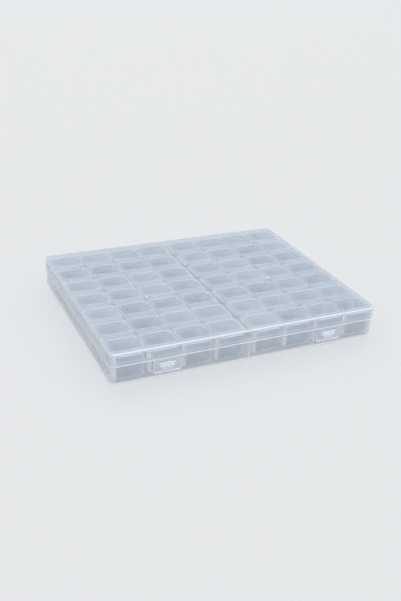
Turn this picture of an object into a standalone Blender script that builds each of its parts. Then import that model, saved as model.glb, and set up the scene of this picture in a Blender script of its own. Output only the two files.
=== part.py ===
# Storage box for diamond painting drills: a hinged case that holds lift-out strips of lidded cells.
# Metres, +Z up, front at -Y; the origin is on the table, at the middle of the closed box's footprint.
import math

import bmesh
import bpy
from mathutils import Matrix

# Closed case
CASE_WIDTH = 0.2100
CASE_DEPTH = 0.1700
CASE_HEIGHT = 0.0250
FIT_GAP = 0.0003  # clearance between pieces that touch or slide
OVERRUN = 0.0010  # how far a cutter runs past the face that it opens
CASE_STEPS = 4  # facets in each corner of the case, seen from above

# Cover
COVER_WALL = 0.0011
COVER_DEEP = 0.0100  # rim to top
COVER_CORNER = 0.0055  # radius of the upright corners
COVER_EDGE = 0.0020  # radius along the top edge
COVER_EDGE_STEPS = 3

# Base
BASE_INSET = 0.0009  # how far the cover overhangs the base's wall
BASE_FLOOR = 0.0012
BASE_EDGE = 0.0018  # radius along the bottom edge
BASE_EDGE_STEPS = 2
CATCH_WIDTH = 0.0150  # ridge that a latch's hook snaps under
CATCH_TALL = 0.0014
CATCH_REACH = 0.00025
CATCH_DROP = 0.0030  # below the base's rim
LIP_WALL = 0.0009  # the lip that the cover closes over
LIP_RISE = 0.0022
HOLLOW_EDGE = 0.0010
RIB_WIDTH = 0.0012  # rib between the left and right strips

# Hinges at the back
HINGE_INSET = 0.0410  # from the case's end to the middle of a hinge
HINGE_OPEN = math.radians(180.0)
BARREL_RADIUS = 0.00125
BARREL_LENGTH = 0.0090
BARREL_SIDES = 12
PIN_RADIUS = 0.00065
PIN_PLAY = 0.00015
PIN_SIDES = 8
EAR_WIDTH = 0.0030
EAR_DROP = 0.0052  # height of an ear's bracket on the base's wall
WEB_RISE = 0.0030  # height of a knuckle's web on the cover's wall

# Latches at the front
LATCH_INSET = 0.0410  # from the case's end to the middle of a latch
LATCH_WIDTH = 0.0212
LATCH_TALL = 0.0100
LATCH_THICK = 0.0010
LATCH_CORNER = 0.0025
LATCH_CORNER_STEPS = 4
LATCH_OPEN = math.radians(80.0)
LATCH_AXIS_OUT = 0.0001  # the film hinge's line, in front of the cover's wall
HOOK_WIDTH = 0.0110
HOOK_TALL = 0.0012
HOOK_REACH = 0.0002
HOOK_DROP = 0.0004  # below the catch that holds it
BAR_WIDTH = 0.0114  # top bar of the finger grip
BAR_TALL = 0.0007
BAR_REACH = 0.0004
BAR_DROP = 0.0024  # below the latch's top
GRIP_COUNT = 4  # ribs under the bar
GRIP_PITCH = 0.0011
GRIP_TALL = 0.0005
GRIP_REACH = 0.0003
GRIP_NARROW = 0.0070  # width of the lowest rib

# Strips of cells
STRIP_ROWS = 7
STRIP_CELLS = 4
LIDDED_ROWS = 5  # front rows whose lids are pieces of their own
CENTRE_GAP = 0.0052  # between the left and right strips
STRIP_PLAY = 0.0005  # between a strip and the base's wall
CELL_GAP = 0.0008
ROW_GAP = 0.0009
FLANGE_THICK = 0.0013
FLANGE_REACH = 0.0004  # past the cups' walls
STRIP_CORNER = 0.0030
CUP_WALL = 0.0008
CUP_TAPER = 0.0007  # each side, over a cup's height
CUP_CORNER = 0.0032
CUP_EDGE = 0.0026  # radius round a cup's bottom
CUP_STEPS = 2

# Lids of the cells
LID_THICK = 0.0010
LID_HEADROOM = 0.0005  # under the cover
LID_SETBACK = 0.0009  # hinge line, in front of the strip's back edge
LID_OPEN = math.radians(105.0)
LID_CORNER = 0.0030
PLUG_DROP = 0.0010  # the step under a lid that drops into its cup
PLUG_CORNER = 0.0018
THUMB_WIDTH = 0.0170
THUMB_REACH = 0.00045
THUMB_THICK = 0.0006
FILM_WIDTH = 0.0200  # film hinge of a lid that is moulded shut
FILM_THICK = 0.0002
FILM_INSET = 0.00005

# Heights worked out from the sizes above
RIM_Z = CASE_HEIGHT - COVER_DEEP
SEAM_Z = RIM_Z - FIT_GAP
LID_TOP_Z = CASE_HEIGHT - COVER_WALL - LID_HEADROOM
LID_LOW_Z = LID_TOP_Z - LID_THICK
STRIP_TOP_Z = LID_LOW_Z - FIT_GAP
STRIP_LOW_Z = BASE_FLOOR + FIT_GAP

# Plan sizes worked out from the sizes above
BASE_WIDTH = CASE_WIDTH - 2 * BASE_INSET
BASE_DEPTH = CASE_DEPTH - 2 * BASE_INSET
BASE_CORNER = COVER_CORNER - BASE_INSET
LIP_INSET = COVER_WALL + FIT_GAP
HOLLOW_INSET = LIP_INSET + LIP_WALL
HOLLOW_WIDTH = CASE_WIDTH - 2 * HOLLOW_INSET
HOLLOW_DEPTH = CASE_DEPTH - 2 * HOLLOW_INSET
STRIP_LENGTH = (HOLLOW_WIDTH - CENTRE_GAP) / 2 - STRIP_PLAY
CELL_PITCH = (STRIP_LENGTH + CELL_GAP) / STRIP_CELLS
CELL_WIDTH = CELL_PITCH - CELL_GAP
ROW_PITCH = (HOLLOW_DEPTH - 2 * STRIP_PLAY + ROW_GAP) / STRIP_ROWS
STRIP_DEPTH = ROW_PITCH - ROW_GAP
CUP_WIDTH = CELL_WIDTH - 2 * FLANGE_REACH
CUP_DEPTH = STRIP_DEPTH - 2 * FLANGE_REACH
LID_DEPTH = STRIP_DEPTH - LID_SETBACK

# Hinge lines worked out from the sizes above
HINGE_OFFSET = CASE_WIDTH / 2 - HINGE_INSET
HINGE_BACK = BARREL_RADIUS + FIT_GAP  # behind the cover's wall
HINGE_Y = CASE_DEPTH / 2 + HINGE_BACK
HINGE_Z = RIM_Z
LATCH_OFFSET = CASE_WIDTH / 2 - LATCH_INSET
LATCH_Y = -CASE_DEPTH / 2 - LATCH_AXIS_OUT
LATCH_Z = RIM_Z - FIT_GAP / 2
LATCH_FACE_Y = -BASE_DEPTH / 2 - CATCH_REACH - FIT_GAP  # back face of a latch
LATCH_PROUD = -LATCH_FACE_Y + LATCH_THICK + BAR_REACH - CASE_DEPTH / 2
CASE_SHIFT = (LATCH_PROUD - HINGE_BACK - BARREL_RADIUS) / 2  # centres the footprint on the origin

# Corners of an ear's bracket and of a knuckle's web, as shares of the barrel's radius from the hinge line
EAR_REACH_SHARE = 0.52
EAR_LOW_SHARE = 0.80
EAR_NEAR_SHARE = 0.84
WEB_LOW_SHARE = 0.24
WEB_TOP_SHARE = 0.92

WELD = 0.00001  # doubles closer than this are one point
SMOOTH_ANGLE = math.radians(30.0)

# Frosted polypropylene, as the photo shows each piece: colour, roughness
FINISHES = {
    "cover_plastic": ((0.46, 0.54, 0.61), 0.34),
    "base_plastic": ((0.37, 0.43, 0.50), 0.38),
    "latch_plastic": ((0.44, 0.50, 0.57), 0.36),
    "tray_plastic": ((0.43, 0.50, 0.57), 0.42),
    "lid_plastic": ((0.50, 0.57, 0.64), 0.40),
}


def clear_scene():
    for thing in list(bpy.data.objects):
        bpy.data.objects.remove(thing, do_unlink=True)


def new_collection(name):
    group = bpy.data.collections.new(name)
    bpy.context.scene.collection.children.link(group)
    return group


def finish_material(name):
    colour, roughness = FINISHES[name]
    material = bpy.data.materials.new(name)
    material.use_nodes = True
    shader = material.node_tree.nodes["Principled BSDF"]
    shader.inputs["Base Color"].default_value = (*colour, 1.0)
    shader.inputs["Roughness"].default_value = roughness
    shader.inputs["Metallic"].default_value = 0.0
    material.diffuse_color = (*colour, 1.0)
    return material


def to_mesh(name, shape):
    mesh = bpy.data.meshes.new(name)
    shape.to_mesh(mesh)
    shape.free()
    return mesh


# A block standing from low to high, with rounded upright corners, one rounded ring of edges and a drawn-in foot
def block(
        width, depth, low, high, corner=0.0, steps=1, edge=0.0, edge_steps=1, edge_on_top=False, taper=0.0):
    shape = bmesh.new()
    middle = (low + high) / 2
    bmesh.ops.create_cube(shape, size=1.0)
    bmesh.ops.scale(shape, vec=(width, depth, high - low), verts=shape.verts)
    bmesh.ops.translate(shape, vec=(0, 0, middle), verts=shape.verts)
    foot = [v for v in shape.verts if v.co.z < middle]
    bmesh.ops.scale(shape, vec=(1 - 2 * taper / width, 1 - 2 * taper / depth, 1), verts=foot)
    if corner > 0:
        uprights = [e for e in shape.edges if (e.verts[0].co.z < middle) != (e.verts[1].co.z < middle)]
        bmesh.ops.bevel(shape, geom=uprights, offset=corner, segments=steps, profile=0.5, affect="EDGES")
    if edge > 0:
        ring = [e for e in shape.edges if all((v.co.z > middle) == edge_on_top for v in e.verts)]
        bmesh.ops.bevel(shape, geom=ring, offset=edge, segments=edge_steps, profile=0.5, affect="EDGES")
    return shape


# A round bar along X, centred on the point given
def bar(radius, length, sides, x=0.0, y=0.0, z=0.0):
    shape = bmesh.new()
    place = Matrix.Translation((x, y, z)) @ Matrix.Rotation(math.pi / 2, 4, "Y")
    bmesh.ops.create_cone(
        shape, cap_ends=True, segments=sides, radius1=radius, radius2=radius, depth=length, matrix=place)
    return shape


# A flat outline in Y and Z, carried a given width along X
def prism(outline, width):
    curve = bpy.data.curves.new("outline", "CURVE")
    curve.dimensions = "2D"
    curve.fill_mode = "BOTH"
    curve.extrude = width / 2
    line = curve.splines.new("POLY")
    line.points.add(len(outline) - 1)
    for point, (y, z) in zip(line.points, outline):
        point.co = (y, z, 0, 1)
    line.use_cyclic_u = True
    holder = bpy.data.objects.new("outline", curve)
    bpy.context.scene.collection.objects.link(holder)
    bpy.context.view_layer.update()
    mesh = bpy.data.meshes.new_from_object(holder.evaluated_get(bpy.context.evaluated_depsgraph_get()))
    bpy.data.objects.remove(holder, do_unlink=True)
    shape = bmesh.new()
    shape.from_mesh(mesh)
    bpy.data.meshes.remove(mesh)
    bmesh.ops.remove_doubles(shape, verts=shape.verts, dist=WELD)
    turn = Matrix(((0, 0, 1), (1, 0, 0), (0, 1, 0))).to_4x4()
    bmesh.ops.transform(shape, matrix=turn, verts=shape.verts)
    return shape


# Copies of a shape at several places, as one mesh
def copies(shape, places):
    pattern = to_mesh("pattern", shape)
    together = bmesh.new()
    for place in places:
        before = len(together.verts)
        together.from_mesh(pattern)
        together.verts.ensure_lookup_table()
        bmesh.ops.translate(together, vec=place, verts=together.verts[before:])
    bpy.data.meshes.remove(pattern)
    return together


def add_object(name, mesh, group, parent=None, place=(0, 0, 0)):
    thing = bpy.data.objects.new(name, mesh)
    group.objects.link(thing)
    thing.parent = parent
    thing.location = place
    return thing


# A tool shares its target's frame, so its mesh is drawn in the target's own coordinates
def add_tool(name, shape, target, operation):
    tool = add_object(name, to_mesh(name, shape), tools, target.parent, target.location)
    tool.hide_render = True
    tool.display_type = "WIRE"
    step = target.modifiers.new(name, "BOOLEAN")
    step.operation = operation
    step.solver = "EXACT"
    step.object = tool


def smooth(mesh):
    mesh.shade_smooth()
    mesh.set_sharp_from_angle(angle=SMOOTH_ANGLE)


# The mesh that a pattern object and its modifiers make, for the copies to share
def frozen(pattern, name, material):
    bpy.context.view_layer.update()
    graph = bpy.context.evaluated_depsgraph_get()
    mesh = bpy.data.meshes.new_from_object(pattern.evaluated_get(graph))
    mesh.name = name
    mesh.materials.clear()
    mesh.materials.append(materials[material])
    smooth(mesh)
    return mesh


def both_sides(offset):
    return [(-offset, 0, 0), (offset, 0, 0)]


# Base: a rounded tray with a lip for the cover, a middle rib, catches for the latches and four hinge ears
def make_base():
    body = block(BASE_WIDTH, BASE_DEPTH, 0, SEAM_Z, BASE_CORNER, CASE_STEPS, BASE_EDGE, BASE_EDGE_STEPS)
    base = add_object("base_tray", to_mesh("base_tray", body), parts, frame)
    base.data.materials.append(materials["base_plastic"])
    lip = block(
        CASE_WIDTH - 2 * LIP_INSET, CASE_DEPTH - 2 * LIP_INSET, SEAM_Z - LIP_RISE, SEAM_Z + LIP_RISE,
        COVER_CORNER - LIP_INSET, CASE_STEPS)
    add_tool("lip", lip, base, "UNION")
    hollow = block(
        HOLLOW_WIDTH, HOLLOW_DEPTH, BASE_FLOOR, SEAM_Z + LIP_RISE + OVERRUN,
        COVER_CORNER - HOLLOW_INSET, CASE_STEPS, HOLLOW_EDGE)
    add_tool("hollow", hollow, base, "DIFFERENCE")
    rib = block(RIB_WIDTH, HOLLOW_DEPTH + LIP_WALL, BASE_FLOOR / 2, SEAM_Z - FIT_GAP)
    add_tool("middle_rib", rib, base, "UNION")
    catch_top = SEAM_Z - CATCH_DROP
    catch = block(CATCH_WIDTH, CATCH_REACH + LIP_WALL, catch_top - CATCH_TALL, catch_top)
    catch_y = -BASE_DEPTH / 2 + (LIP_WALL - CATCH_REACH) / 2
    bmesh.ops.translate(catch, vec=(0, catch_y, 0), verts=catch.verts)
    add_tool("catches", copies(catch, both_sides(LATCH_OFFSET)), base, "UNION")
    ear_step = (BARREL_LENGTH + EAR_WIDTH) / 2 + FIT_GAP
    ears = [(side * HINGE_OFFSET + turn * ear_step, 0, 0) for side in (-1, 1) for turn in (-1, 1)]
    wall_y = BASE_DEPTH / 2 - LIP_WALL / 2
    top = SEAM_Z - FIT_GAP / 2
    outline = [
        (wall_y, HINGE_Z - EAR_DROP),
        (HINGE_Y + EAR_REACH_SHARE * BARREL_RADIUS, HINGE_Z - EAR_LOW_SHARE * BARREL_RADIUS),
        (HINGE_Y - EAR_NEAR_SHARE * BARREL_RADIUS, top),
        (wall_y, top)]
    add_tool("ear_brackets", copies(prism(outline, EAR_WIDTH), ears), base, "UNION")
    discs = copies(bar(BARREL_RADIUS, EAR_WIDTH, BARREL_SIDES, 0, HINGE_Y, HINGE_Z), ears)
    add_tool("ear_discs", discs, base, "UNION")
    reach = BARREL_LENGTH + 2 * (FIT_GAP + EAR_WIDTH + OVERRUN)
    holes = bar(PIN_RADIUS + PIN_PLAY, reach, PIN_SIDES, 0, HINGE_Y, HINGE_Z)
    add_tool("pin_holes", copies(holes, both_sides(HINGE_OFFSET)), base, "DIFFERENCE")
    smooth(base.data)
    return base


# Cover: an open shell with two knuckles whose pins turn in the base's ears; its origin is on the hinge line
def make_cover():
    shell = block(
        CASE_WIDTH, CASE_DEPTH, RIM_Z, CASE_HEIGHT, COVER_CORNER, CASE_STEPS,
        COVER_EDGE, COVER_EDGE_STEPS, True)
    bmesh.ops.translate(shell, vec=(0, -HINGE_Y, -HINGE_Z), verts=shell.verts)
    underside = min(shell.faces, key=lambda face: face.calc_center_median().z)
    bmesh.ops.delete(shell, geom=[underside], context="FACES_ONLY")
    cover = add_object("cover", to_mesh("cover", shell), parts, frame, (0, HINGE_Y, HINGE_Z))
    cover.data.materials.append(materials["cover_plastic"])
    wall = cover.modifiers.new("wall", "SOLIDIFY")
    wall.thickness = COVER_WALL
    wall.offset = -1
    wall.use_even_offset = True
    wall_y = -HINGE_BACK - COVER_WALL / 2
    low = WEB_LOW_SHARE * BARREL_RADIUS
    outline = [(wall_y, low), (0, low), (0, WEB_TOP_SHARE * BARREL_RADIUS), (wall_y, WEB_RISE)]
    webs = copies(prism(outline, BARREL_LENGTH), both_sides(HINGE_OFFSET))
    add_tool("knuckle_webs", webs, cover, "UNION")
    barrels = copies(bar(BARREL_RADIUS, BARREL_LENGTH, BARREL_SIDES), both_sides(HINGE_OFFSET))
    add_tool("knuckles", barrels, cover, "UNION")
    pin = bar(PIN_RADIUS, BARREL_LENGTH + 2 * (FIT_GAP + EAR_WIDTH), PIN_SIDES)
    add_tool("hinge_pins", copies(pin, both_sides(HINGE_OFFSET)), cover, "UNION")
    smooth(cover.data)
    return cover


# Latch: a flap hung from the cover's rim by a film hinge, with a ribbed finger grip and a hook behind it
def make_latch(name, side, cover):
    top = -FIT_GAP / 2
    face_y = LATCH_FACE_Y - LATCH_Y
    front_y = face_y - LATCH_THICK
    plate = block(LATCH_WIDTH, LATCH_THICK, top - LATCH_TALL, top)
    low_corners = [
        e for e in plate.edges
        if e.verts[0].co.x == e.verts[1].co.x and max(v.co.z for v in e.verts) < top - LATCH_TALL / 2]
    bmesh.ops.bevel(
        plate, geom=low_corners, offset=LATCH_CORNER, segments=LATCH_CORNER_STEPS, profile=0.5,
        affect="EDGES")
    bmesh.ops.translate(plate, vec=(0, face_y - LATCH_THICK / 2, 0), verts=plate.verts)
    place = (side * LATCH_OFFSET, LATCH_Y - HINGE_Y, LATCH_Z - HINGE_Z)
    latch = add_object(name, to_mesh(name, plate), parts, cover, place)
    latch.data.materials.append(materials["latch_plastic"])

    # A ridge starts inside the plate and stands out from it by its reach
    def ridge(width, tall, reach, outer_y, out, z):
        shape = block(width, reach + LATCH_THICK / 2, z - tall / 2, z + tall / 2, reach, 1)
        middle_y = outer_y + out * reach / 2 - out * LATCH_THICK / 4
        bmesh.ops.translate(shape, vec=(0, middle_y, 0), verts=shape.verts)
        return shape

    bar_z = top - BAR_DROP - BAR_TALL / 2
    add_tool(name + "_bar", ridge(BAR_WIDTH, BAR_TALL, BAR_REACH, front_y, -1, bar_z), latch, "UNION")
    for index in range(GRIP_COUNT):
        width = BAR_WIDTH + (GRIP_NARROW - BAR_WIDTH) * (index + 1) / GRIP_COUNT
        grip_z = bar_z - BAR_TALL / 2 - GRIP_PITCH * (index + 1) + GRIP_TALL / 2
        grip = ridge(width, GRIP_TALL, GRIP_REACH, front_y, -1, grip_z)
        add_tool(name + "_grip_%d" % (index + 1), grip, latch, "UNION")
    hook_z = SEAM_Z - CATCH_DROP - CATCH_TALL - HOOK_DROP - HOOK_TALL / 2 - LATCH_Z
    add_tool(name + "_hook", ridge(HOOK_WIDTH, HOOK_TALL, HOOK_REACH, face_y, 1, hook_z), latch, "UNION")
    return latch


def cell_x(cell):
    return (cell - (STRIP_CELLS - 1) / 2) * CELL_PITCH


def cell_places():
    return [(cell_x(cell), 0, 0) for cell in range(STRIP_CELLS)]


# Strip: tapered cups hung from one flange; its origin is at its middle, at table height
def make_strip_pattern(name, inner_steps):
    cup_top = STRIP_TOP_Z - FLANGE_THICK / 2
    slope = CUP_TAPER / (cup_top - STRIP_LOW_Z)
    flange_low = STRIP_TOP_Z - FLANGE_THICK
    flange = block(STRIP_LENGTH, STRIP_DEPTH, flange_low, STRIP_TOP_Z, STRIP_CORNER, CUP_STEPS)
    pattern = add_object(name, to_mesh(name, flange), tools)
    pattern.hide_render = True
    pattern.display_type = "WIRE"
    cup = block(
        CUP_WIDTH, CUP_DEPTH, STRIP_LOW_Z, cup_top, CUP_CORNER, CUP_STEPS, CUP_EDGE, 1, False, CUP_TAPER)
    add_tool("cups", copies(cup, cell_places()), pattern, "UNION")
    low = STRIP_LOW_Z + CUP_WALL
    high = STRIP_TOP_Z + OVERRUN
    wider = 2 * slope * (high - cup_top) - 2 * CUP_WALL
    hollow = block(
        CUP_WIDTH + wider, CUP_DEPTH + wider, low, high, CUP_CORNER - CUP_WALL, inner_steps,
        CUP_EDGE - CUP_WALL, 1, False, slope * (high - low))
    add_tool("cup_hollows", copies(hollow, cell_places()), pattern, "DIFFERENCE")
    return pattern


# Lid: a plate with a thumb lip in front; its origin is on its hinge line
def make_plate_pattern(name):
    plate = block(CELL_WIDTH, LID_DEPTH, 0, LID_THICK, LID_CORNER, CUP_STEPS)
    bmesh.ops.translate(plate, vec=(0, -LID_DEPTH / 2, 0), verts=plate.verts)
    pattern = add_object(name, to_mesh(name, plate), tools)
    pattern.hide_render = True
    pattern.display_type = "WIRE"
    middle = LID_THICK / 2
    thumb = block(
        THUMB_WIDTH, THUMB_REACH + LID_CORNER, middle - THUMB_THICK / 2, middle + THUMB_THICK / 2)
    bmesh.ops.translate(thumb, vec=(0, (LID_CORNER - THUMB_REACH) / 2 - LID_DEPTH, 0), verts=thumb.verts)
    add_tool(name + "_thumb_lip", thumb, pattern, "UNION")
    return pattern


# Lid that opens: the plate with a step below that drops into its cup
def make_lid_pattern():
    pattern = make_plate_pattern("lid_pattern")
    plug_inset = FLANGE_REACH + CUP_WALL + FIT_GAP
    plug_width = CELL_WIDTH - 2 * plug_inset
    plug_depth = STRIP_DEPTH - 2 * plug_inset
    plug = block(plug_width, plug_depth, -PLUG_DROP, LID_THICK / 2, PLUG_CORNER, 1)
    bmesh.ops.translate(plug, vec=(0, LID_SETBACK - STRIP_DEPTH / 2, 0), verts=plug.verts)
    add_tool("lid_plug", plug, pattern, "UNION")
    return pattern


# Strip of a back row: its lids are joined to it by their film hinges, shut, so what they hide is plainer
def make_shut_pattern():
    plate_mesh = frozen(make_plate_pattern("shut_lid_pattern"), "shut_lid", "lid_plastic")
    pattern = make_strip_pattern("shut_strip_pattern", 1)
    hinge_y = STRIP_DEPTH / 2 - LID_SETBACK
    film = block(FILM_WIDTH, FILM_THICK, STRIP_TOP_Z - FLANGE_THICK / 2, LID_LOW_Z + LID_THICK / 2)
    film_y = hinge_y - FILM_INSET - FILM_THICK / 2
    bmesh.ops.translate(film, vec=(0, film_y, 0), verts=film.verts)
    add_tool("film_hinges", copies(film, cell_places()), pattern, "UNION")
    lid = bmesh.new()
    lid.from_mesh(plate_mesh)
    bmesh.ops.translate(lid, vec=(0, hinge_y, LID_LOW_Z), verts=lid.verts)
    add_tool("shut_lids", copies(lid, cell_places()), pattern, "UNION")
    return pattern


def make_cells():
    strip_mesh = frozen(make_strip_pattern("strip_pattern", CUP_STEPS), "strip", "tray_plastic")
    lid_mesh = frozen(make_lid_pattern(), "lid", "lid_plastic")
    shut_mesh = frozen(make_shut_pattern(), "shut_strip", "tray_plastic")
    for row in range(STRIP_ROWS):
        row_y = (row - (STRIP_ROWS - 1) / 2) * ROW_PITCH
        for side, half in ((-1, "left"), (1, "right")):
            strip_x = side * (CENTRE_GAP + STRIP_LENGTH) / 2
            lidded = row < LIDDED_ROWS
            mesh = strip_mesh if lidded else shut_mesh
            strip = add_object("strip_%d_%s" % (row + 1, half), mesh, parts, frame, (strip_x, row_y, 0))
            for cell in range(STRIP_CELLS if lidded else 0):
                column = cell + 1 if side < 0 else cell + 1 + STRIP_CELLS
                place = (cell_x(cell), STRIP_DEPTH / 2 - LID_SETBACK, LID_LOW_Z)
                add_object("lid_%d_%d" % (row + 1, column), lid_mesh, parts, strip, place)


clear_scene()
parts = new_collection("diamond_painting_storage_box")
tools = new_collection("construction")
materials = {name: finish_material(name) for name in FINISHES}
frame = add_object("case_frame", None, parts, None, (0, CASE_SHIFT, 0))
make_base()
lid_cover = make_cover()
make_latch("latch_left", -1, lid_cover)
make_latch("latch_right", 1, lid_cover)
make_cells()
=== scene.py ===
# Diamond painting storage box: a frosted case with a hinged cover, two latches and strips of lidded cells
import math

import bmesh
import bpy
import numpy as np
from mathutils import Matrix, Vector


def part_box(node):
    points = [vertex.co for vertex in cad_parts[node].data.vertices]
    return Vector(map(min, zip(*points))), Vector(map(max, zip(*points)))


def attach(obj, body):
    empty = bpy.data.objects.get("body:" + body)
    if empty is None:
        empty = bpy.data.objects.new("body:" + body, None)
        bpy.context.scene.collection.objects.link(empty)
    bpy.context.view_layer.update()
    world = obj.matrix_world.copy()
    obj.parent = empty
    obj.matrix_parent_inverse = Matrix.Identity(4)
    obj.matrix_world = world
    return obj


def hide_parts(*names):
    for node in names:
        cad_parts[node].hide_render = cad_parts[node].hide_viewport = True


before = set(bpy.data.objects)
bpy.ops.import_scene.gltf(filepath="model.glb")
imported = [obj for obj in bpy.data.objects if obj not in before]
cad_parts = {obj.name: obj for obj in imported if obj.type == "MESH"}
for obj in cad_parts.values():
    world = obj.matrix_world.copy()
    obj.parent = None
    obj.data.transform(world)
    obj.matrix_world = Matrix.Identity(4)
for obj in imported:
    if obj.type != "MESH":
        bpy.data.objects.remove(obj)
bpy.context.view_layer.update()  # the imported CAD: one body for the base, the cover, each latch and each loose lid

mm = 0.001  # every shape below is worked out in millimetres, and scaled once when its mesh is made
caseMiddle = -0.875  # the case's middle in y, as the hinges stand out further than the latches do


# An sRGB hex colour as the linear colour that a shader wants
def linear(hexColour):
    channels = [int(hexColour[i:i + 2], 16) / 255 for i in (1, 3, 5)]
    return (*[c / 12.92 if c <= 0.04045 else ((c + 0.055) / 1.055) ** 2.4 for c in channels], 1.0)


# One node with its settings and its links; a number as the key picks a socket by its place
def addNode(tree, kind, settings=None, links=None):
    node = tree.nodes.new(kind)
    for key, value in (settings or {}).items():
        if isinstance(key, int) or key in node.inputs:
            node.inputs[key].default_value = value
        else:
            setattr(node, key, value)
    for key, source in (links or {}).items():
        tree.links.new(source, node.inputs[key])
    return node


def unit(vector):
    return vector / np.linalg.norm(vector)


rounding = {
    "holdShare": 0.35, "holdMore": 0.04,  # how far beside an arc the flats stay flat: of its radius, and more
    "paintedHighlightPower": 8,  # how narrow the painted highlight along an arc is
    "leastCorner": 0.05,  # the tightest corner of an outline
    "barEase": 0.15, "ridgeEase": 0.16, "easeShare": 0.6,  # the ends' rounding, and the most of a thin part
    "ridgeInset": 0.9, "ridgeFoot": -0.02}  # how far in a ridge's end rings lie, and its foot inside the wall


# A profile of (out, height, radius, light) corners, rounded: on each corner's circle, the point at angle a
# from the first leg is centre + (sin(whole - a) * first + sin(a) * last) / sin(whole). The flats beside a
# circle have flatShare of its light, or the share that the corner gives as a fifth value. A share of each
# arc's painted light can be narrowed into a highlight along its middle
def roundedProfile(corners, steps=6, flatShare=0.3, paintedHighlight=0.0):
    at = np.array([corner[:2] for corner in corners], float)
    rows = [[[*at[0], corners[0][3]]]]
    for before, here, after, (_, _, radius, light, *share) in zip(at, at[1:], at[2:], corners[1:-1]):
        if radius == 0:
            rows.append([[*here, light]])
            continue
        back, ahead = unit(before - here), unit(after - here)
        whole = math.pi - math.acos(np.clip(back @ ahead, -1, 1))
        reach = radius * math.tan(whole / 2)
        centre = here + unit(back + ahead) * radius / math.cos(whole / 2)
        first, last = here + back * reach - centre, here + ahead * reach - centre
        a = np.linspace(0, whole, steps + 1)[:, None]
        arc = centre + (np.sin(whole - a) * first + np.sin(a) * last) / math.sin(whole)
        hold = reach + rounding["holdShare"] * radius + rounding["holdMore"]
        beside = light * (share[0] if share else flatShare)
        rows.append([[*(here + back * hold), beside]])
        paintedGlow = light * (1 - paintedHighlight + paintedHighlight * np.sin(math.pi * a / whole) ** rounding["paintedHighlightPower"])
        rows.append(np.column_stack([arc, paintedGlow]))
        rows.append([[*(here + ahead * hold), beside]])
    rows.append([[*at[-1], corners[-1][3]]])
    return np.concatenate(rows)


# A rounded rectangle for each row (half width a, half depth b, corner radius r, height, light): its corner
# arcs are (a - r + r cos t, b - r + r sin t), mirrored to the four corners. Painted light gathers at the
# corners as the root of sin 2t, and on the left and right walls as |cos t| to the power 0.7, paling walls that
# stand in shade
def ringStack(rows, cornerSteps=6, cornerShares=(1, 1, 1, 1), cornerLight=0.0, sideLight=0.0):
    rows = np.asarray(rows, float)
    a, b, r, height, light = rows.T[:, :, None]
    quarter = np.linspace(0, math.pi / 2, cornerSteps + 1)
    t = (np.arange(4)[:, None] * math.pi / 2 + quarter).ravel()
    signX = np.repeat([1, -1, -1, 1], cornerSteps + 1)
    signY = np.repeat([1, 1, -1, -1], cornerSteps + 1)
    r = np.minimum(r * np.repeat(cornerShares, cornerSteps + 1), np.minimum(a, b))
    x = signX * (a - r) + r * np.cos(t)
    y = signY * (b - r) + r * np.sin(t)
    paintedGlow = np.maximum(light, cornerLight * (light > 0) * np.tile(np.sin(2 * quarter).clip(0) ** 0.5, 4))
    paintedGlow = np.maximum(paintedGlow, sideLight * (light > 0) * np.abs(np.cos(t)) ** 0.7)
    return np.stack([x, y, height + 0 * x, paintedGlow + 0 * x], axis=-1)


# Quads between the rings of a stack, and the two flat ends
def stackFaces(stack, ends=(True, True), leftOut=()):
    rings, around = stack.shape[:2]
    ring = np.arange(rings - 1)[:, None] * around
    here = np.array([i for i in range(around) if i not in leftOut])[None, :]
    after = (here + 1) % around
    quads = np.stack([ring + here, ring + after, ring + around + after, ring + around + here], axis=-1)
    faces = quads.reshape(-1, 4).tolist()
    if ends[0]:
        faces.append(list(range(around))[::-1])
    if ends[1]:
        faces.append(list(range((rings - 1) * around, rings * around)))
    return faces


# One shell of a piece: points with their light, faces, and which of the piece's materials it takes
def shellOf(stack, faces=None, place=(0, 0, 0), facing="up", finish=0):
    points = stack.reshape(-1, 4)
    x, y, z, light = points.T
    turned = {"up": (x, y, z), "front": (x, -z, y), "back": (x, z, y), "right": (z, x, y)}[facing]
    return {
        "points": np.column_stack(turned) + np.array(place, float), "light": light,
        "faces": faces if faces is not None else stackFaces(stack), "finish": finish}


# A profile carried round a rounded rectangle: out is measured from the rectangle's own line
def carriedRound(halfWidth, halfDepth, corner, profile, steps=6, cornerSteps=6, paintedHighlight=0.0, **settings):
    out, height, light = roundedProfile(profile, steps, paintedHighlight=paintedHighlight).T
    shares = {key: settings.pop(key) for key in ("cornerShares", "cornerLight") if key in settings}
    corners = np.maximum(corner + out, rounding["leastCorner"])
    rows = np.column_stack([halfWidth + out, halfDepth + out, corners, height, light])
    return shellOf(ringStack(rows, cornerSteps, **shares), **settings)


# A round bar along X with eased ends: at each row the ring has radius r and stands at x
def roundBar(radius, halfLength, place, light=0.6, sides=24, finish=0):
    ease = min(rounding["barEase"], radius * rounding["easeShare"])
    rows = [
        (radius - ease, -halfLength), (radius, -halfLength + ease),
        (radius, halfLength - ease), (radius - ease, halfLength)]
    r, x = np.array(rows).T[:, :, None]
    t = np.linspace(0, 2 * math.pi, sides, endpoint=False)
    stack = np.stack([r * np.cos(t), r * np.sin(t), x + 0 * t, light + 0 * x + 0 * t], axis=-1)
    return shellOf(stack, place=place, facing="right", finish=finish)


# A ridge moulded on a wall: a flat rounded bar standing out from it
def ridge(halfWidth, halfTall, reach, place, facing, light=1.0):
    inset, foot = rounding["ridgeInset"] * min(halfWidth, halfTall), rounding["ridgeFoot"]
    ease = min(rounding["ridgeEase"], reach * rounding["easeShare"])
    return carriedRound(halfWidth, halfTall, inset, [
        (-inset, foot, 0, light), (0.0, foot, 0, light), (0.0, reach, ease, light, 1.0),
        (-inset, reach, 0, light)], place=place, facing=facing, steps=3, cornerSteps=4)


meshing = {"weldWithin": 0.002, "sharpFrom": 35}  # in mm, and in degrees


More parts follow.
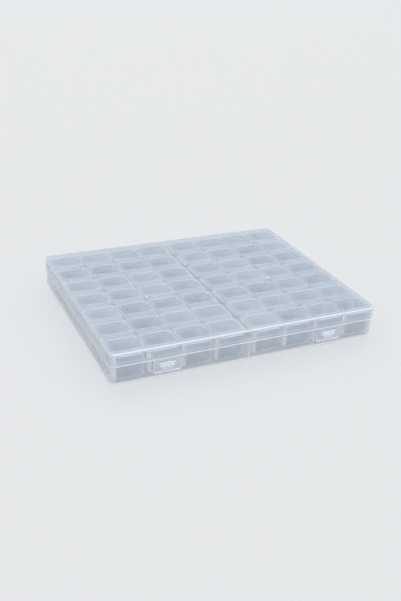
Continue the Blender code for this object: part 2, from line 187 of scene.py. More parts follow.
# A piece of the object: its shells in one mesh, welded, faces outwards, on its body in the CAD node's place
def addPiece(name, shells, finishes, body, node):
    starts = np.cumsum([0] + [len(shell["points"]) for shell in shells])
    points = np.concatenate([shell["points"] for shell in shells]) * mm
    faces = [[i + start for i in face] for shell, start in zip(shells, starts) for face in shell["faces"]]
    mesh = bpy.data.meshes.new(name)
    mesh.from_pydata(points.tolist(), [], faces)
    kinds = np.concatenate([np.full(len(shell["faces"]), shell["finish"]) for shell in shells])
    mesh.polygons.foreach_set("material_index", kinds.astype(np.int32))
    # the light attribute carries the painted light and shade that the plastics read
    light = mesh.attributes.new("light", "FLOAT", "POINT")
    light.data.foreach_set("value", np.concatenate([shell["light"] for shell in shells]).astype(np.float32))
    for finish in finishes:
        mesh.materials.append(finish)
    work = bmesh.new()
    work.from_mesh(mesh)
    bmesh.ops.remove_doubles(work, verts=work.verts, dist=meshing["weldWithin"] * mm)
    bmesh.ops.recalc_face_normals(work, faces=work.faces)
    work.to_mesh(mesh)
    work.free()
    mesh.shade_smooth()
    mesh.set_sharp_from_angle(angle=math.radians(meshing["sharpFrom"]))
    piece = bpy.data.objects.new(name, mesh)
    bpy.context.scene.collection.objects.link(piece)
    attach(piece, body)
    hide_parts(node)
    return piece


# Injection-moulded frosted polypropylene: a milky wall, with light and shade painted in by the mesh's light
# attribute.
# Where it is high, at edges, roundings and ridges, the colour is mixed towards the pale edge colour as painted glow
# and highlight, and the wall is drawn denser and less milky, so these show paler and denser than the flats. A fine
# spark-eroded grain breaks the gloss
def frostedPolypropylene(name, look):
    material = bpy.data.materials.new(name)
    material.use_nodes = True
    tree = material.node_tree
    tree.nodes.clear()
    where = addNode(tree, "ShaderNodeTexCoord").outputs["Object"]
    light = addNode(tree, "ShaderNodeAttribute", {"attribute_name": "light"}).outputs["Fac"]
    wander = addNode(  # milky cloudiness of the melt, in blotches
        tree, "ShaderNodeTexNoise", {"Scale": 1 / (look["cloudSize"] * mm), "Detail": 3.0, "Roughness": 0.55},
        {"Vector": where}).outputs["Fac"]
    flow = addNode(tree, "ShaderNodeMapping", {"Scale": (1.0, 3.2, 1.0)}, {"Vector": where}).outputs["Vector"]
    streaks = addNode(  # faint flow lines, drawn out along the width
        tree, "ShaderNodeTexNoise", {"Scale": 1 / (look["streakSize"] * mm), "Detail": 2.0},
        {"Vector": flow}).outputs["Fac"]
    cloudy = addNode(
        tree, "ShaderNodeMapRange", {"From Min": 0.32, "From Max": 0.68}, {"Value": wander}).outputs["Result"]
    body = addNode(
        tree, "ShaderNodeMix", {"data_type": "RGBA", 6: linear(look["shade"]), 7: linear(look["colour"])},
        {0: cloudy})
    lined = addNode(
        tree, "ShaderNodeMix", {"data_type": "RGBA", "blend_type": "SOFT_LIGHT", 0: look["streakDepth"]},
        {6: body.outputs[2], 7: streaks})
    # painted light: the colour is mixed towards the pale edge colour wherever the light attribute is high
    withPaintedLight = addNode(
        tree, "ShaderNodeMix", {"data_type": "RGBA", 7: linear(look["edge"])},
        {0: light, 6: lined.outputs[2]})
    colour, density = withPaintedLight.outputs[2], light
    for place in look.get("gateMarks", []):  # where the melt came in: a pale spot, fading outwards
        away = addNode(
            tree, "ShaderNodeVectorMath", {"operation": "DISTANCE", 1: Vector(place) * mm},
            {0: where}).outputs["Value"]
        spot = addNode(
            tree, "ShaderNodeMapRange",
            {"From Min": look["gateSize"] * mm, "From Max": look["gateSize"] * 0.45 * mm, "To Max": 0.75},
            {"Value": away}).outputs["Result"]
        colour = addNode(
            tree, "ShaderNodeMix", {"data_type": "RGBA", 7: linear(look["edge"])},
            {0: spot, 6: colour}).outputs[2]
        density = addNode(
            tree, "ShaderNodeMath", {"operation": "MAXIMUM"}, {0: density, 1: spot}).outputs[0]
    grain = addNode(  # the mould's skin, whose real grain of about 0.15 mm is drawn larger so that it shows
        tree, "ShaderNodeTexNoise", {"Scale": 1 / (look["grainSize"] * mm), "Detail": 4.0, "Roughness": 0.6},
        {"Vector": where}).outputs["Fac"]
    bump = addNode(
        tree, "ShaderNodeBump", {"Strength": look["grainDepth"], "Distance": 0.06 * mm}, {"Height": grain})
    rough = addNode(
        tree, "ShaderNodeMapRange", {
            "From Min": 0.3, "From Max": 0.7,
            "To Min": look["roughness"] - 0.05, "To Max": look["roughness"] + 0.07},
        {"Value": grain})
    alpha = addNode(
        tree, "ShaderNodeMapRange", {"To Min": look["density"], "To Max": look["edgeDensity"]},
        {"Value": density})
    shadowed = addNode(tree, "ShaderNodeLightPath").outputs["Is Shadow Ray"]
    passed = addNode(  # the light that a milky wall stops goes on as scattered light to what lies behind it
        tree, "ShaderNodeMapRange", {"To Min": 1.0, "To Max": 1.0 - look["passOn"]}, {"Value": shadowed})
    alpha = addNode(
        tree, "ShaderNodeMath", {"operation": "MULTIPLY"},
        {0: alpha.outputs["Result"], 1: passed.outputs["Result"]})
    # less milk where the light attribute is high, so that the painted edges show as plain bright white
    milk = addNode(tree, "ShaderNodeMapRange", {"To Min": look["milk"], "To Max": 0.0}, {"Value": density})
    shader = addNode(
        tree, "ShaderNodeBsdfPrincipled", {
            "IOR": 1.49, "Metallic": 0.0, "Specular IOR Level": look["gloss"],
            "Subsurface Radius": (1.0, 1.0, 1.0), "Subsurface Scale": look["milkDepth"] * mm},
        {"Base Color": colour, "Roughness": rough.outputs["Result"], "Alpha": alpha.outputs[0],
         "Subsurface Weight": milk.outputs["Result"], "Normal": bump.outputs["Normal"]})
    addNode(tree, "ShaderNodeOutputMaterial", {}, {"Surface": shader.outputs["BSDF"]})
    material.diffuse_color = linear(look["colour"])
    return material


# In each look, edge is the pale colour that the light attribute mixes in: painted glow and highlight
coverLook = {
    "colour": "#C0CFDB", "shade": "#BAC4D7", "edge": "#FAFDFF", "density": 0.20, "edgeDensity": 0.85,
    "milk": 0.4, "milkDepth": 3.0, "passOn": 0.88, "roughness": 0.33, "gloss": 0.5,
    "cloudSize": 26, "streakSize": 14, "streakDepth": 0.10, "grainSize": 0.5, "grainDepth": 0.12,
    "gateMarks": [(-51.4, -12.9, 25.0), (51.4, -12.9, 25.0)], "gateSize": 1.5}
baseLook = {
    "colour": "#B8BEC8", "shade": "#AEB2BF", "edge": "#F4F6FA", "density": 0.13, "edgeDensity": 0.65,
    "milk": 0.5, "milkDepth": 3.0, "passOn": 0.88, "roughness": 0.37, "gloss": 0.45,
    "cloudSize": 22, "streakSize": 12, "streakDepth": 0.12, "grainSize": 0.5, "grainDepth": 0.15}
latchLook = {
    "colour": "#DEE8F3", "shade": "#D3DFEB", "edge": "#FBFDFF", "density": 0.22, "edgeDensity": 0.90,
    "milk": 0.3, "milkDepth": 1.5, "passOn": 0.88, "roughness": 0.35, "gloss": 0.5,
    "cloudSize": 9, "streakSize": 6, "streakDepth": 0.10, "grainSize": 0.45, "grainDepth": 0.12}
trayLook = {
    "colour": "#A6B5C4", "shade": "#9AA9B9", "edge": "#FAFDFF", "density": 0.36, "edgeDensity": 0.85,
    "milk": 0.8, "milkDepth": 5.0, "passOn": 0.88, "roughness": 0.42, "gloss": 0.4,
    "cloudSize": 11, "streakSize": 8, "streakDepth": 0.14, "grainSize": 0.5, "grainDepth": 0.12}
lidLook = {
    "colour": "#AEBFCB", "shade": "#A6B0C5", "edge": "#E8EFF8", "density": 0.14, "edgeDensity": 0.75,
    "milk": 0.6, "milkDepth": 3.0, "passOn": 0.88, "roughness": 0.38, "gloss": 0.45,
    "cloudSize": 9, "streakSize": 7, "streakDepth": 0.16, "grainSize": 0.45, "grainDepth": 0.12}
coverPlastic = frostedPolypropylene("frosted_polypropylene_cover", coverLook)
basePlastic = frostedPolypropylene("frosted_polypropylene_base", baseLook)
latchPlastic = frostedPolypropylene("frosted_polypropylene_latch", latchLook)
trayPlastic = frostedPolypropylene("frosted_polypropylene_tray", trayLook)
lidPlastic = frostedPolypropylene("frosted_polypropylene_lid", lidLook)
print("finishes: 5 frosted plastics")


hingeStation = {
    "x": 64.0, "y": 85.675, "z": 15.0, "barrel": 1.25, "halfLength": 4.5, "earHalf": 1.5, "gap": 0.3,
    "pin": 0.65, "hole": 0.8, "ease": 0.18, "sides": 72, "endLight": 0.9, "roundLight": 0.5, "holeLight": 0.4}
earMiddle = hingeStation["halfLength"] + hingeStation["gap"] + hingeStation["earHalf"]  # from a station's x


# An outline seen along X as a distance from the hinge line at each angle: the barrel's own radius, or, where
# it is further, the meeting of the ray at angle t with a leg of the bracket
def reachFrom(barrel, bracket, t):
    corners = np.array(bracket, float)
    start, leg = corners, np.roll(corners, -1, axis=0) - corners
    ray = np.stack([np.cos(t), np.sin(t)], axis=-1)
    across = leg[None, :, 0] * ray[:, None, 1] - leg[None, :, 1] * ray[:, None, 0]
    across = np.where(np.abs(across) < 1e-9, 1e-9, across)
    along = (start[None, :, 1] * ray[:, None, 0] - start[None, :, 0] * ray[:, None, 1]) / across
    far = (start[None, :, 0] * leg[None, :, 1] - start[None, :, 1] * leg[None, :, 0]) / -across
    meets = np.where((along >= 0) & (along <= 1) & (far > 0), far, 0).max(axis=1)
    return np.maximum(barrel, meets)


# A hinge knuckle or ear along X: the outline's rings, eased at both ends, round a hole or shut by flat ends
def knuckle(halfLength, bracket, hole, place):
    size, ease, end = hingeStation, hingeStation["ease"], hingeStation["endLight"]
    t = np.linspace(0, 2 * math.pi, size["sides"], endpoint=False)
    r = reachFrom(size["barrel"], bracket, t)[None, :] - np.array([ease, 0, 0, ease])[:, None]
    x = np.array([-halfLength, -halfLength + ease, halfLength - ease, halfLength])[:, None]
    light = np.array([end, size["roundLight"], size["roundLight"], end])[:, None]
    if hole:
        r = np.concatenate([r, np.full((2, size["sides"]), hole), r[:1]])
        x = np.concatenate([x, [[halfLength], [-halfLength]], x[:1]])
        light = np.concatenate([light, [[size["holeLight"]], [size["holeLight"]]], light[:1]])
    stack = np.stack([r * np.cos(t), r * np.sin(t), x + 0 * r, light + 0 * r], axis=-1)
    return shellOf(stack, stackFaces(stack, (not hole, not hole)), place, "right")


coverShape = {
    "halfWidth": 105.0, "halfDepth": 85.0, "corner": 5.5, "top": 25.0, "rim": 15.0, "wall": 1.1, "edge": 2.0,
    "flatIn": -7.0, "bandFrom": 1.1, "bandTo": 0.7, "rimEase": 0.2, "rimLight": 0.85,
    "sideFade": 0.5, "fadeFrom": 5, "fadeOver": 3,
    "uprights": {
        "at": {28.0: 0.35, 52.4: 0.6, 76.6: 0.85, 78.4: 0.85},  # the light of each, by its x on both sides
        "halfWidth": 0.26, "halfTall": 3.0, "middle": 20.6, "reach": 0.45},
    "web": [(-1.60, 0.30), (0.0, 0.30), (0.0, 1.15), (-1.60, 3.0)]}


def makeCover():
    size, hinge = coverShape, hingeStation
    wall, top, rim, ease, paintedGlow = size["wall"], size["top"], size["rim"], size["rimEase"], size["rimLight"]
    # the top edge carries a painted highlight, and the band above the rim a painted glow
    shell = carriedRound(size["halfWidth"], size["halfDepth"], size["corner"], [
        (size["flatIn"], top, 0, 0.0),
        (0.0, top, size["edge"], 1.0, 0.0),
        (0.0, rim + size["bandFrom"], 0, 0.0),
        (0.0, rim + size["bandTo"], 0, paintedGlow),
        (0.0, rim, ease, paintedGlow, 1.0),
        (-wall, rim, ease, 0.8),
        (-wall, top - wall, size["edge"] - wall, 0.5, 0.0),
        (size["flatIn"], top - wall, 0, 0.0)],
        steps=10, paintedHighlight=0.75, place=(0, caseMiddle, 0), cornerLight=0.6, cornerSteps=10)
    aside = np.abs(shell["points"][:, 0])  # the edges' painted glow and highlight are weaker on the left and right sides
    onSide = np.clip((aside - size["halfWidth"] + size["fadeFrom"]) / size["fadeOver"], 0, 1)
    shell["light"] = shell["light"] * (1 - size["sideFade"] * onSide)
    shells, bar = [shell], size["uprights"]
    for x, light in [(side * at, light) for at, light in bar["at"].items() for side in (-1, 1)]:
        for facing, way in (("back", -1), ("front", 1)):  # inside the front wall, then inside the back wall
            place = (x, caseMiddle + way * (size["halfDepth"] - wall), bar["middle"])
            shells.append(ridge(bar["halfWidth"], bar["halfTall"], bar["reach"], place, facing, light))
    for side in (-1, 1):
        x, y, z = side * hinge["x"], hinge["y"], hinge["z"]
        shells.append(knuckle(hinge["halfLength"], size["web"], None, (x, y, z)))
        half = hinge["gap"] + hinge["earHalf"]  # a pin runs through each ear and the gaps beside it
        for end in (-1, 1):
            shells.append(roundBar(hinge["pin"], half, (x + end * earMiddle, y, z)))
    addPiece("clear_cover", shells, [coverPlastic], "cover", "cover")


baseShape = {
    "halfWidth": 104.1, "halfDepth": 84.1, "corner": 4.6, "ledge": 14.7, "edge": 1.8, "floor": 1.2,
    "lipOut": -0.5, "lipIn": -1.4, "lipTop": 16.9, "lipEase": 0.25, "hollowEdge": 1.0, "floorIn": -9.0,
    "ledgeEase": 0.2, "ledgeRoot": 0.1,
    "footIn": -5.0, "footLift": 0.3, "footSlope": 0.8, "footEase": 0.2, "footFlat": 6.0,
    "rib": {
        "halfWidth": 0.6, "halfDepth": 82.75, "corner": 0.1, "top": 14.4, "ease": 0.3,
        "sunk": 0.1, "lowInset": 0.5, "topInset": 0.55},
    "catch": {
        "halfWidth": 7.5, "halfTall": 0.7, "corner": 0.3, "z": 11.0, "reach": 0.25, "ease": 0.15,
        "sunk": 0.05, "inset": 0.6},
    "bracket": [(-2.5, -5.2), (0.65, -1.0), (-1.05, -0.45), (-2.5, -0.45)]}


def makeBase():
    size, hinge = baseShape, hingeStation
    foot, lift, ledge, lipEase = size["footIn"], size["footLift"], size["ledge"], size["lipEase"]
    shells = [carriedRound(size["halfWidth"], size["halfDepth"], size["corner"], [
        (foot - size["footFlat"], lift, 0, 0.0),
        (foot, lift, size["footEase"], 0.6),
        (foot + size["footSlope"], 0.0, size["footEase"], 0.7),
        (0.0, 0.0, size["edge"], 1.0, 0.12),
        (0.0, ledge, size["ledgeEase"], 1.0),
        (size["lipOut"], ledge, size["ledgeRoot"], 0.5),
        (size["lipOut"], size["lipTop"], lipEase, 1.0),
        (size["lipIn"], size["lipTop"], lipEase, 1.0),
        (size["lipIn"], size["floor"], size["hollowEdge"], 0.5),
        (size["floorIn"], size["floor"], 0, 0.0)], place=(0, caseMiddle, 0), cornerLight=0.4, cornerSteps=10)]
    rib, catch = size["rib"], size["catch"]
    low, high = size["floor"] - rib["sunk"], rib["top"]
    shells.append(carriedRound(rib["halfWidth"], rib["halfDepth"], rib["corner"], [
        (-rib["lowInset"], low, 0, 1.0), (0.0, low, 0, 1.0), (0.0, high, rib["ease"], 1.0, 1.0),
        (-rib["topInset"], high, 0, 1.0)], place=(0, caseMiddle, 0), cornerSteps=2))
    inset, sunk, reach, ease = catch["inset"], catch["sunk"], catch["reach"], catch["ease"]
    for side in (-1, 1):
        place = (side * hinge["x"], caseMiddle - size["halfDepth"], catch["z"])
        shells.append(carriedRound(catch["halfWidth"], catch["halfTall"], catch["corner"], [
            (-inset, -sunk, 0, 0.3), (0.0, -sunk, 0, 0.3), (0.0, reach, ease, 0.9), (-inset, reach, 0, 0.8)],
            place=place, facing="front", cornerSteps=3))
        for end in (-1, 1):
            place = (side * hinge["x"] + end * earMiddle, hinge["y"], hinge["z"])
            shells.append(knuckle(hinge["earHalf"], size["bracket"], hinge["hole"], place))
    addPiece("base_tray_shell", shells, [basePlastic], "base", "base_tray")


latchShape = {
    "halfWidth": 10.6, "top": 14.70, "low": 4.70, "back": -85.525, "thick": 1.0, "corner": 2.5, "ease": 0.28,
    "upperCorners": 0.16, "backIn": -1.4, "frameIn": -0.9, "panelIn": -1.1, "panelFlat": -2.0, "sink": 0.12,
    "panelEase": 0.05, "lowBand": 2.2, "highBand": 2.5, "bandLights": (1.0, 0.35, 0.25, 0.05),
    "leftBand": 1.2, "leftLight": 0.15, "gripIn": 0.1,
    "film": {"radius": 0.14, "halfLength": 9.6, "y": -85.975, "z": 14.85, "light": 0.1, "sides": 12},
    "bar": {"halfWidth": 5.7, "halfTall": 0.35, "drop": 2.75, "reach": 0.4},
    "ribs": {
        "count": 4, "pitch": 1.1, "halfTall": 0.25, "reach": 0.3, "narrow": 3.5, "lower": 0.15, "light": 0.6},
    "hook": {"halfWidth": 5.5, "halfTall": 0.6, "z": 9.3, "reach": 0.2}}


def makeLatch(side, name):
    size, x = latchShape, side * hingeStation["x"]
    halfTall, middle = (size["top"] - size["low"]) / 2, (size["top"] + size["low"]) / 2
    front, sunk = size["back"] - size["thick"], size["thick"] - size["sink"]
    plate = carriedRound(size["halfWidth"], halfTall, size["corner"], [
        (size["backIn"], 0.0, 0, 0.0), (0.0, 0.0, size["ease"], 0.8), (0.0, size["thick"], size["ease"], 1.0),
        (size["frameIn"], size["thick"], size["panelEase"], 0.9),
        (size["panelIn"], sunk, size["panelEase"], 0.3), (size["panelFlat"], sunk, 0, 0.0)],
        place=(x, size["back"], middle), facing="front",
        cornerShares=(size["upperCorners"], size["upperCorners"], 1, 1))
    across, _, height = plate["points"].T  # painted light: palest at the free lower edge, then at the left one
    heights = [size["low"], size["low"] + size["lowBand"], size["top"] - size["highBand"], size["top"]]
    onLeft = across < x - size["halfWidth"] + size["leftBand"]
    paintedGlow = np.interp(height, heights, size["bandLights"]) + size["leftLight"] * onLeft
    plate["light"] = plate["light"] * np.minimum(paintedGlow, 1.0)
    film, bar, ribs, hook = size["film"], size["bar"], size["ribs"], size["hook"]
    place = (x, film["y"], film["z"])
    shells = [plate, roundBar(film["radius"], film["halfLength"], place, film["light"], film["sides"])]
    gripY, barZ = front + size["gripIn"], size["top"] - bar["drop"]
    shells.append(ridge(bar["halfWidth"], bar["halfTall"], bar["reach"], (x, gripY, barZ), "front"))
    for index in range(1, ribs["count"] + 1):  # the ribs get narrower downwards
        half = bar["halfWidth"] + (ribs["narrow"] - bar["halfWidth"]) * index / ribs["count"]
        z = barZ - bar["halfTall"] - ribs["pitch"] * index + ribs["halfTall"] - ribs["lower"]
        shells.append(ridge(half, ribs["halfTall"], ribs["reach"], (x, gripY, z), "front", ribs["light"]))
    place = (x, size["back"], hook["z"])
    shells.append(ridge(hook["halfWidth"], hook["halfTall"], hook["reach"], place, "back"))
    addPiece(name + "_flap", shells, [latchPlastic], name, name)


lidShape = {
    "halfWidth": 12.15, "depth": 21.814, "thick": 1.0, "corner": 3.0, "leastCorner": 0.8, "ease": 0.22,
    "border": 2.0, "backBorder": 5.6, "frontBorder": 4.6, "sink": 0.22, "slope": 0.35, "slopeEase": 0.12,
    "fade": 3.4, "leftLight": 0.03, "rightLight": 0.3, "underIn": -1.0, "seat": 22.4, "strip": 22.714,
    "setback": 0.9, "tilt": 0.35, "joinedTilt": 0.5, "pale": 0.35, "thinSides": 12,
    "plug": {
        "in": 1.5, "drop": 1.0, "wall": 0.8, "corner": 1.8, "ease": 0.2, "root": 0.15, "start": 0.02,
        "flatIn": 1.0},
    "lines": {"behind": (2.9, 18.9), "halfLength": 9.2, "radius": 0.34, "sunk": 0.08},
    "thumb": {
        "halfWidth": 8.5, "reach": 0.45, "halfTall": 0.3, "corner": 0.25, "ease": 0.15, "sunk": 0.1,
        "inset": 0.2},
    "roll": {"radius": 0.26, "halfLength": 10.0}}


# A ring closed by one quad for each step in y, from side to side, so its painted light runs evenly from back to
# front
def crossedCap(around):
    quarter = around // 4
    right = np.concatenate([np.arange(quarter)[::-1], np.arange(3 * quarter, around)[::-1]])
    left = np.arange(quarter, 3 * quarter)
    return np.stack([right[:-1], left[:-1], left[1:], right[1:]], axis=-1).tolist()


# A lid round its own hinge line: x from its middle, y from the hinge line back, z from its underside
def lidShells(finish=0):
    size, plug, lines = lidShape, lidShape["plug"], lidShape["lines"]
    halfDepth, thick, border = size["depth"] / 2, size["thick"], -size["border"]
    sunk, slopeEase = thick - size["sink"], size["slopeEase"]
    out, height, light = roundedProfile([
        (border - size["fade"], sunk, 0, 0.0),
        (border, sunk, slopeEase, 0.34),
        (border + size["slope"], thick, slopeEase, 0.36),
        (0.0, thick, size["ease"], 0.8),
        (0.0, 0.0, size["ease"], 0.8),
        (size["underIn"], 0.0, 0, 0.3)], 3, 0.75).T
    panel = (out < border / 2) & (height > thick / 2)  # the sunk panel, further in at the back than in front
    narrower = (size["backBorder"] + size["frontBorder"]) / 2 - size["border"]
    corners = np.maximum(size["corner"] + out, size["leastCorner"])
    rows = [size["halfWidth"] + out, halfDepth + out - narrower * panel, corners, height, light]
    plate = ringStack(np.column_stack(rows), cornerLight=0.7)
    plate[panel, :, 1] -= (size["backBorder"] - size["frontBorder"]) / 2
    share = (plate[0, :, 0] - plate[0, :, 0].min()) / np.ptp(plate[0, :, 0])  # painted light across the panel's middle: least at the left, most at the right
    plate[0, :, 3] = size["leftLight"] + (size["rightLight"] - size["leftLight"]) * share
    around = plate.shape[1]
    faces = stackFaces(plate, (False, False)) + crossedCap(around)  # the underside goes on into the plug
    upper = shellOf(plate, faces, (0, -halfDepth, 0))
    drop, wall, start, ease = -plug["drop"], -plug["wall"], plug["start"], plug["ease"]
    lower = carriedRound(size["halfWidth"] - plug["in"], size["strip"] / 2 - plug["in"], plug["corner"], [
        (0.0, start, 0, 0.3), (0.0, drop, ease, 0.8), (wall, drop, ease, 0.8),
        (wall, start, plug["root"], 0.2), (wall - plug["flatIn"], start, 0, 0.0)],
        steps=3, place=(0, size["setback"] - size["strip"] / 2, 0))
    lower["faces"].pop(-2)  # open at its first ring, which is bridged to the plate's last one
    joined = len(upper["points"])
    step = np.arange(around)
    after = (step + 1) % around
    last = joined - around
    bridge = np.stack([last + step, last + after, joined + after, joined + step], axis=-1)
    whole = {
        "points": np.concatenate([upper["points"], lower["points"]]),
        "light": np.concatenate([upper["light"], lower["light"]]),
        "faces": upper["faces"] + [[i + joined for i in face] for face in lower["faces"]] + bridge.tolist(),
        "finish": finish}
    thumb, roll, sides = size["thumb"], size["roll"], size["thinSides"]
    inset, foot, reach = -thumb["inset"], -thumb["sunk"], thumb["reach"]
    lip = carriedRound(thumb["halfWidth"], thumb["halfTall"], thumb["corner"], [
        (inset, foot, 0, 0.9), (0.0, foot, 0, 0.9), (0.0, reach, thumb["ease"], 1.0), (inset, reach, 0, 1.0)],
        steps=3, cornerSteps=3, place=(0, -size["depth"], thick / 2), facing="front", finish=finish)
    hinge = roundBar(roll["radius"], roll["halfLength"], (0, 0, 0), 0.9, sides, finish)
    ribs = [  # two thin ribs, one beside the film hinge and one near the front edge
        roundBar(lines["radius"], lines["halfLength"], (0, -back, thick - lines["sunk"]), 1.0, sides, finish)
        for back in lines["behind"]]
    return [whole, lip, hinge, *ribs]


spread = {"row": 12.9898, "column": 78.233, "turn": 37.719, "times": 43758.5453}


# A share between 0 and 1, the same at each run: the broken part of a large multiple of a sine
def lidShare(row, column, turn=0):
    angle = spread["row"] * row + spread["column"] * column + spread["turn"] * turn
    return abs(math.sin(angle) * spread["times"] % 1)


# The same lid, tilted a little about its hinge line, paler by its own share, and set in place
def placedLid(shells, place, row, column, tiltShare=1.0):
    tilt = math.radians(-lidShape["tilt"] * tiltShare * lidShare(row, column))
    turn = np.array(Matrix.Rotation(tilt, 3, "X"))
    pale = lidShape["pale"] * lidShare(row, column, 1)
    return [
        {**shell, "points": shell["points"] @ turn.T + np.array(place, float),
         "light": shell["light"] + pale * (1 - shell["light"])} for shell in shells]


stripShape = {
    "rows": 7, "looseRows": 5, "cells": 4, "pitch": 25.1, "halfDepth": 11.357, "corner": 3.0, "top": 22.1,
    "under": 20.8, "halfLength": 49.8, "endTab": 2.1, "flangeLight": 0.2, "cornerSteps": 6,
    "cup": (11.75, 10.957, 3.2), "leastCorner": 0.3, "wall": 0.8, "taper": 0.7, "foot": 1.5, "footEdge": 2.6,
    "floorIn": 4.0, "rimIn": 0.5, "rimEase": 0.25, "rootOut": 0.3, "rootEase": 0.15,
    "insideRings": ((0.12, 2.4, 0.9), (0.32, 6.5, 0.35)), "outsideRing": (0.06, 1.0, 0.1),
    "bead": {"halfWidth": 8.3, "halfTall": 0.5, "z": 21.2, "reach": 0.42}}


# The flange's ends: cut off at the strip's length, and towards the case's middle drawn out into a short tab
def toFlangeEnds(x, middleX):
    size = stripShape
    inwards = -math.copysign(1, middleX)
    cut = np.clip(x, -size["halfLength"], size["halfLength"])
    return cut + inwards * size["endTab"] * (inwards * x > size["halfLength"])


# The cup's inside and outside. The rings between rim and foot have a share of the taper, a drop and a painted
# light, palest near the rim, which pales the walls that stand in shade
def cupProfiles():
    size = stripShape
    wall, taper, foot, top, under = size["wall"], size["taper"], size["foot"], size["top"], size["under"]
    inside = roundedProfile([
        (-wall + size["rimIn"], top, 0, 0.8),
        (-wall, top, size["rimEase"], 1.0),
        *[(-wall - taper * share, top - drop, 0, light) for share, drop, light in size["insideRings"]],
        (-taper - wall, foot + wall, size["footEdge"] - wall, 0.3),
        (-taper - wall - size["floorIn"], foot + wall, 0, 0.0)], flatShare=0.6)
    share, drop, light = size["outsideRing"]
    outside = roundedProfile([
        (size["rootOut"], under, 0, 1.0),
        (0.0, under, size["rootEase"], 0.8, 0.3),
        (-taper * share, under - drop, 0, light),
        (-taper, foot, size["footEdge"], 0.6, 0.1),
        (-taper - size["floorIn"], foot, 0, 0.0)])
    return inside, outside


# One strip: each cell runs from the flange's outline over the rim and down into its cup, and below from the
# same outline down the cup's outside; neighbouring outlines share their straight sides, so the cells weld
def stripShells(middleX, middleY):
    size, bead, steps = stripShape, stripShape["bead"], stripShape["cornerSteps"]
    place = (middleX, middleY, 0)
    halfX, halfY, corner = size["cup"]
    outline = [size["pitch"] / 2, size["halfDepth"], size["corner"]]
    inside, outside = cupProfiles()
    straights = {"left": 2 * steps + 1, "right": 4 * steps + 3}  # where a ring crosses to the next corner
    shells = []
    for cell in range(size["cells"]):
        x = (cell - (size["cells"] - 1) / 2) * size["pitch"]
        for profile, height, sideLight in ((inside, size["top"], 0.5), (outside, size["under"], 1.0)):
            out, z, light = profile.T
            corners = np.maximum(corner + out, size["leastCorner"])
            rows = np.column_stack([halfX + out, halfY + out, corners, z, light])
            rows = np.concatenate([[[*outline, height, size["flangeLight"]]], rows])
            stack = ringStack(rows, steps, cornerLight=0.9, sideLight=sideLight)
            stack[..., 0] = toFlangeEnds(stack[..., 0] + x, middleX)
            shells.append(shellOf(stack, stackFaces(stack, (False, True)), place))
        rows = np.array([[*outline, size[level], size["flangeLight"]] for level in ("top", "under")])
        band = ringStack(rows, steps)
        band[..., 0] = toFlangeEnds(band[..., 0] + x, middleX)
        leftOut = [straights["left"]] * (cell > 0) + [straights["right"]] * (cell < size["cells"] - 1)
        shells.append(shellOf(band, stackFaces(band, (False, False), leftOut), place))
        front = (middleX + x, middleY - size["halfDepth"], bead["z"])  # here the lid's lip snaps over a bead
        shells.append(ridge(bead["halfWidth"], bead["halfTall"], bead["reach"], front, "front"))
    return shells


def makeCells():
    strip, lid, cells = stripShape, lidShape, stripShape["cells"]
    loose, joined = lidShells(), lidShells(1)
    looseCount = 0
    for row in range(1, strip["rows"] + 1):
        isLoose = row <= strip["looseRows"]
        for half in ("left", "right"):
            node = "strip_%d_%s" % (row, half)
            low, high = [np.array(corner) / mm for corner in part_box(node)]
            middleX, middleY = (low[0] + high[0]) / 2, low[1] + lid["strip"] / 2
            if not isLoose:  # the lips of joined lids reach out in front of the strip
                middleY = high[1] - lid["strip"] / 2
            shells = stripShells(middleX, middleY)
            for cell in range(cells):
                column = cell + 1 + cells * (half == "right")
                x = middleX + (cell - (cells - 1) / 2) * strip["pitch"]
                place = (x, middleY + lid["strip"] / 2 - lid["setback"], lid["seat"])
                if isLoose:
                    name = "lid_%d_%d" % (row, column)
                    placed = placedLid(loose, place, row, column)
                    addPiece("cell_" + name, placed, [lidPlastic], name, name)
                    looseCount += 1
                else:
                    shells += placedLid(joined, place, row, column, lid["joinedTilt"])
            finishes = [trayPlastic] if isLoose else [trayPlastic, lidPlastic]
            addPiece("cell_" + node, shells, finishes, "base", node)
    print("cells: %d strips, %d loose lids" % (2 * strip["rows"], looseCount))


makeCover()
makeBase()
makeLatch(-1, "latch_left")
makeLatch(1, "latch_right")
print("case: cover, base and two latches")
makeCells()


cameraView = {  # fitted to the box's corners in the photo, taken as 401 by 601
    "place": (-245.43, -512.33, 292.55), "right": (0.9109, -0.4102, 0.0447),
    "down": (-0.1484, -0.4266, -0.8922), "ahead": (0.3851, 0.8061, -0.4494),
    "focal": 799.2, "tall": 601, "sensor": 36, "near": 0.01, "far": 50}
camera = bpy.data.objects.new("camera", bpy.data.cameras.new("camera"))
bpy.context.scene.collection.objects.link(camera)
axes = np.array([cameraView["right"], -np.array(cameraView["down"]), -np.array(cameraView["ahead"])]).T
pose = Matrix(axes.tolist()).to_quaternion().to_matrix().to_4x4()
pose.translation = Vector(cameraView["place"]) * mm
camera.matrix_world = pose
camera.data.sensor_width = cameraView["sensor"]
camera.data.lens = cameraView["focal"] / cameraView["tall"] * cameraView["sensor"]
camera.data.clip_start, camera.data.clip_end = cameraView["near"], cameraView["far"]
bpy.context.scene.camera = camera

studio = {
    "floor": "#E4E6E8", "floorHalf": 8.0, "speckScale": 90.0, "world": 0.62, "backdrop": "#E0E2E4",
    "key": {"from": (-0.36, -0.82, 1.0), "spread": 40, "power": 1.3},
    "back": {"from": (0.35, 1.0, 0.9), "spread": 50, "power": 0.45}}


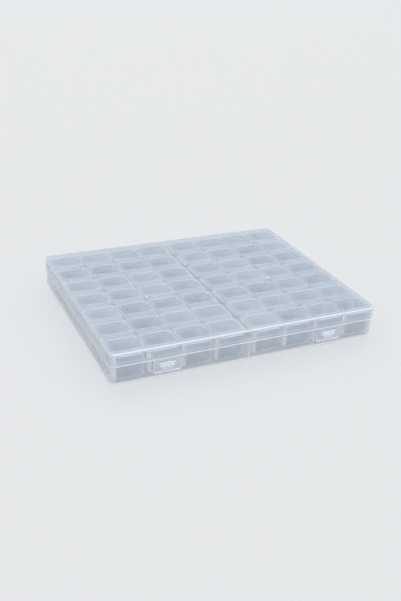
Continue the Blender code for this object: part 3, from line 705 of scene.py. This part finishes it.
# A plain painted board that takes the box's soft shadow
def paintFloor():
    material = bpy.data.materials.new("matt_studio_board")
    material.use_nodes = True
    tree = material.node_tree
    tree.nodes.clear()
    where = addNode(tree, "ShaderNodeTexCoord").outputs["Object"]
    speck = addNode(
        tree, "ShaderNodeTexNoise", {"Scale": studio["speckScale"], "Detail": 3.0},
        {"Vector": where}).outputs["Fac"]
    rough = addNode(tree, "ShaderNodeMapRange", {"To Min": 0.75, "To Max": 0.95}, {"Value": speck})
    shader = addNode(
        tree, "ShaderNodeBsdfPrincipled", {"Base Color": linear(studio["floor"]), "Specular IOR Level": 0.2},
        {"Roughness": rough.outputs["Result"]})
    addNode(tree, "ShaderNodeOutputMaterial", {}, {"Surface": shader.outputs["BSDF"]})
    return material


floorMesh = bpy.data.meshes.new("studio_floor")
wide = studio["floorHalf"]
floorCorners = [(-wide, -wide, 0), (wide, -wide, 0), (wide, wide, 0), (-wide, wide, 0)]
floorMesh.from_pydata(floorCorners, [], [(0, 1, 2, 3)])
floorMesh.materials.append(paintFloor())
floor = bpy.data.objects.new("studio_floor", floorMesh)
bpy.context.scene.collection.objects.link(floor)

for name in ("key", "back"):  # broad, even light, as from a large softbox a long way off
    lamp = studio[name]
    data = bpy.data.lights.new(name + "_softbox", "SUN")
    data.angle = math.radians(lamp["spread"])
    data.energy = lamp["power"]
    softbox = bpy.data.objects.new(name + "_softbox", data)
    bpy.context.scene.collection.objects.link(softbox)
    softbox.rotation_mode = "QUATERNION"
    softbox.rotation_quaternion = (-Vector(lamp["from"])).to_track_quat("-Z", "Y")

world = bpy.data.worlds.new("studio")
world.use_nodes = True
sky = world.node_tree
sky.nodes.clear()
rays = addNode(sky, "ShaderNodeLightPath")
even = addNode(sky, "ShaderNodeBackground", {"Color": linear("#FFFFFF"), "Strength": studio["world"]})
behind = addNode(sky, "ShaderNodeBackground", {"Color": linear(studio["backdrop"]), "Strength": 1.0})
seen = rays.outputs["Is Camera Ray"]
for kind in ("Is Glossy Ray", "Is Transmission Ray"):
    other = rays.outputs[kind]
    seen = addNode(sky, "ShaderNodeMath", {"operation": "MAXIMUM"}, {0: seen, 1: other}).outputs[0]
mix = addNode(
    sky, "ShaderNodeMixShader", {},
    {0: seen, 1: even.outputs["Background"], 2: behind.outputs["Background"]})
addNode(sky, "ShaderNodeOutputWorld", {}, {"Surface": mix.outputs["Shader"]})
bpy.context.scene.world = world

scene = bpy.context.scene
scene.view_settings.view_transform = "Standard"
scene.cycles.transparent_max_bounces = 48  # a look through the shut box crosses that many frosted walls
print("studio: camera, floor and two softboxes")
